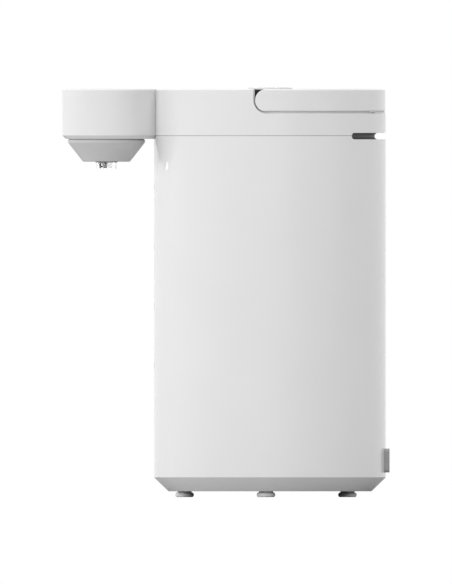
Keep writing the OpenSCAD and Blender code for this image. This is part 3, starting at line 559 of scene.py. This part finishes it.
def key_icon(marks, index, u, v):
    """Minus, plus, drop and clock, from left to right."""
    arm, half = 1.9, 0.3
    if index == 0:
        marks.line([(u - arm, v), (u + arm, v)], 2 * half)
    elif index == 1:
        marks.prism([((u + x) * MM, (v + y) * MM) for x, y in plus_outline(arm, half)])
    elif index == 2:
        bowl_r, bowl_v, tip_v, steps = 1.45, -0.6, 2.3, 20
        turns = [math.radians(-215 + 250 * step / steps) for step in range(steps + 1)]
        bowl = [(u + bowl_r * math.cos(t), v + bowl_v + bowl_r * math.sin(t)) for t in turns]
        marks.line(bowl + [(u, v + tip_v)], 0.45, closed=True)
    else:
        marks.circle(u, v, 2.1, 0.4, 28)
        marks.line([(u, v + 1.4), (u, v), (u + 1.0, v)], 0.4)


LITRE_RISE = 49.5
LEVEL_FLOOR = 58.8
LEVEL_QUARTERS = range(2, 17)
LEVEL_LINE_START = -6.6
LEVEL_STROKES = {
    1: [(0.2, 2.5), (1.1, 3.4), (1.1, 0.0)],
    2: [(0.0, 2.7), (0.5, 3.3), (1.4, 3.3), (2.0, 2.7), (1.8, 1.9), (0.0, 0.0), (2.1, 0.0)],
    3: [
        (0.1, 3.0), (0.8, 3.4), (1.6, 3.2), (1.9, 2.6), (1.5, 2.0), (0.8, 1.8),
        (1.6, 1.6), (2.1, 0.9), (1.7, 0.2), (0.9, 0.0), (0.0, 0.4),
    ],
    4: [(1.5, 0.0), (1.5, 3.4), (0.0, 1.0), (2.2, 1.0)],
}
STROKE_MIDDLE = 1.7
STROKE_LEFT = 1.2
STROKE_LINE = 0.55
STROKE_SCALE = 1.5


def level_marks():
    """Quarter-litre lines and litre digits on the level window."""
    outer = AXIS.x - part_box("level_window")[0].x

    def place(u, v, w):
        return Vector(
            (AXIS.x - (outer + w) * math.cos(u / outer), -(outer + w) * math.sin(u / outer), v)
        )

    marks = Print(place)
    for quarter in LEVEL_QUARTERS:
        height = LEVEL_FLOOR + LITRE_RISE * quarter / 4
        whole = quarter % 4 == 0
        end, width = (-1.6, 0.6) if whole else (-4.2, 0.4)
        marks.line([(LEVEL_LINE_START, height), (end, height)], width)
        if whole:
            points = [
                (STROKE_LEFT + STROKE_SCALE * x, height + STROKE_SCALE * (y - STROKE_MIDDLE))
                for x, y in LEVEL_STROKES[quarter // 4]
            ]
            marks.line(points, STROKE_LINE)
    piece("level_marks", marks.shape, "pot", "black_plastic", smooth=False)


# ---- Screws with a cross recess, in place of the plain ones that show ----

# Radius and height of the head and radius of the shank, in millimetres
UNDERSIDE_SCREW = (2.9, 1.0, 1.3)
LID_SCREW = (3.0, 1.2, 1.4)
HANDLE_SCREW = (2.6, 1.1, 1.3)
LID_SHANK = 11.0
HANDLE_SHANK = 6.0
# From the tip of the middle handle screw back to its face
HANDLE_SCREW_LENGTH = 7.2
# Share of a side screw's head radius by which its rim stands behind its middle along X
HANDLE_RIM_SHARE = 0.79


def screw(shape, head, outward, radius, height, shank_r, shank):
    """A pan head screw with a cross recess; head is the middle of its face."""
    side = outward.orthogonal().normalized()
    other = outward.cross(side)

    def place(x, y, z):
        return head + side * x + other * y + outward * z

    def ring(r, z):
        return [shape.verts.new(place(x, y, z)) for x, y in circle_points(r, 32)]

    corners = plus_outline(0.62 * radius, 0.17 * radius)
    deep = 0.7 * height
    cross = [shape.verts.new(place(x, y, 0)) for x, y in corners]
    floor = [shape.verts.new(place(0.8 * x, 0.8 * y, -deep)) for x, y in corners]
    face = ring(0.86 * radius, 0)
    shoulder = ring(radius, -0.14 * radius)
    seat = ring(radius, -height)
    neck = ring(shank_r, -height)
    tip = ring(shank_r, -height - shank)
    loops = []
    for loop in (face, cross):
        loops += [shape.edges.new((loop[a], loop[(a + 1) % len(loop)])) for a in range(len(loop))]
    bmesh.ops.triangle_fill(shape, edges=loops, use_beauty=True)
    band(shape, cross, floor)
    shape.faces.new(floor)
    band(shape, face, shoulder)
    band(shape, shoulder, seat)
    band(shape, seat, neck)
    band(shape, neck, tip)
    shape.faces.new(tip)


def screws(name, body, heads, outward, size, shank):
    """Screws for one node, with their sizes in millimetres."""
    shape = bmesh.new()
    radius, height, shank_r = (value * MM for value in size)
    for head, way in zip(heads, outward):
        screw(shape, head, way, radius, height, shank_r, shank * MM)
    thing = piece(name + "_cross", shape, body, "screw_steel")
    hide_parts(name)


def all_screws():
    """The arm's, the lid's and the handle's screws."""
    down = Vector((0, 0, -1))
    low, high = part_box("underside_screws")
    inset = UNDERSIDE_SCREW[0] * MM
    heads = [Vector((low.x + inset, y, low.z)) for y in (low.y + inset, high.y - inset)]
    shank = high.z / MM - low.z / MM - UNDERSIDE_SCREW[1]
    screws("underside_screws", "pot", heads, [down] * 2, UNDERSIDE_SCREW, shank)

    low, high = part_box("lid_screws")
    around = high.x - LID_SCREW[0] * MM - AXIS.x
    heads = round_axis(around, [math.radians(angle) for angle in (0, 120, 240)], low.z)
    screws("lid_screws", "lid", heads, [down] * 3, LID_SCREW, LID_SHANK)

    low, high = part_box("handle_screws")
    around = high.x - AXIS.x - HANDLE_SCREW_LENGTH * MM
    half = math.acos((low.x + HANDLE_SCREW[0] * MM * HANDLE_RIM_SHARE - AXIS.x) / around)
    turns = (-half, 0.0, half)
    heads = round_axis(around, turns, (low.z + high.z) / 2)
    inward = [Vector((-math.cos(t), -math.sin(t), 0)) for t in turns]
    screws("handle_screws", "handle", heads, inward, HANDLE_SCREW, HANDLE_SHANK)


# ---- Light, floor and camera ----

PIXEL = 0.828 * MM
IMAGE_SIZE = (452, 584)
AXIS_PIXEL = 270
FLOOR_PIXEL = 497.1
CAMERA_DISTANCE = 3.0
AMBIENT = 0.41
LAMP_TARGET_Z = 0.17
FLOOR_RADIUS = 3.0
FLOOR_DROP = 0.02 * MM

# Name, azimuth, elevation, distance, width, height, watts
SOFTBOXES = (
    ("key", -60, 4, 4.0, 2.2, 0.6, 44),
    ("front_left", -30, 4, 4.0, 2.2, 0.6, 27),
    ("front", 0, 4, 4.0, 2.2, 0.6, 12),
    ("fill", 60, 4, 2.2, 1.2, 0.34, 9.5),
    ("left_back", -110, 3, 3.0, 1.8, 0.34, 18),
    ("back", 180, 20, 3.0, 2.4, 1.2, 26),
    ("top", 0, 88, 2.0, 1.8, 1.8, 28),
)


def aim(thing, target):
    thing.rotation_euler = (target - thing.location).to_track_quat("-Z", "Y").to_euler()


def softbox(name, azimuth, elevation, distance, width, height, power):
    """Area lamp on a sphere round the pot; azimuth 0 is the camera's side, negative is left."""
    data = bpy.data.lights.new(name, "AREA")
    data.shape = "RECTANGLE"
    data.size = width
    data.size_y = height
    data.energy = power
    lamp = add_object(name, data)
    middle = Vector((AXIS.x, 0.0, LAMP_TARGET_Z))
    around, up = math.radians(azimuth), math.radians(elevation)
    lamp.location = middle + distance * Vector(
        (math.sin(around) * math.cos(up), -math.cos(around) * math.cos(up), math.sin(up))
    )
    aim(lamp, middle)
    lamp.visible_camera = False
    lamp.visible_glossy = False


def studio_world(ambient):
    """Plain grey light, with a white surround for what looks at it or mirrors it."""
    world = bpy.data.worlds.new("studio")
    world.use_nodes = True
    bpy.context.scene.world = world
    tree = world.node_tree
    rays = tree.nodes.new("ShaderNodeLightPath")
    seen = rays.outputs["Is Camera Ray"]
    for ray in ("Is Glossy Ray", "Is Transmission Ray"):
        either = tree.nodes.new("ShaderNodeMath")
        either.operation = "MAXIMUM"
        tree.links.new(seen, either.inputs[0])
        tree.links.new(rays.outputs[ray], either.inputs[1])
        seen = either.outputs["Value"]
    mix = tree.nodes.new("ShaderNodeMix")
    mix.data_type = "RGBA"
    mix.inputs[MIX_FIRST].default_value = (ambient, ambient, ambient, 1.0)
    mix.inputs[MIX_SECOND].default_value = (1.0, 1.0, 1.0, 1.0)
    tree.links.new(seen, mix.inputs[0])
    tree.links.new(mix.outputs[MIX_RESULT], tree.nodes["Background"].inputs["Color"])


def pale_floor(seen_tone, bounce_tone):
    """A plain floor that looks pale, and throws little light up at the pot."""
    mesh = bpy.data.meshes.new("floor")
    shape = bmesh.new()
    bmesh.ops.create_circle(shape, cap_ends=True, segments=96, radius=FLOOR_RADIUS)
    shape.to_mesh(mesh)
    shape.free()
    floor = add_object("floor", mesh)
    floor.location.z = -FLOOR_DROP
    finish = Finish("floor_paint", grey(bounce_tone), 0.9)
    rays = finish.add("ShaderNodeLightPath")
    colour = finish.mixed(rays.outputs["Is Camera Ray"], grey(bounce_tone), grey(seen_tone))
    finish.link(colour, finish.shader.inputs["Base Color"])
    mesh.materials.append(finish.material)


def photo_camera():
    """Square to the side and level, with no perspective, as a long lens far away."""
    data = bpy.data.cameras.new("camera")
    data.type = "ORTHO"
    data.ortho_scale = max(IMAGE_SIZE) * PIXEL
    camera = add_object("camera", data)
    middle_x = AXIS.x + (IMAGE_SIZE[0] / 2 - AXIS_PIXEL) * PIXEL
    middle_z = (FLOOR_PIXEL - IMAGE_SIZE[1] / 2) * PIXEL
    camera.location = (middle_x, -CAMERA_DISTANCE, middle_z)
    aim(camera, Vector((middle_x, 0.0, middle_z)))
    bpy.context.scene.camera = camera


bpy.context.scene.view_settings.view_transform = "Standard"
dress_nodes()
for part in (
    cone_gap_shade_ring, bail_rest, button_coil, level_backing,
    panel_marks, level_marks, fill_line, all_screws,
):
    part()
studio_world(AMBIENT)
for lamp in SOFTBOXES:
    softbox(*lamp)
pale_floor(seen_tone=240, bounce_tone=150)
photo_camera()
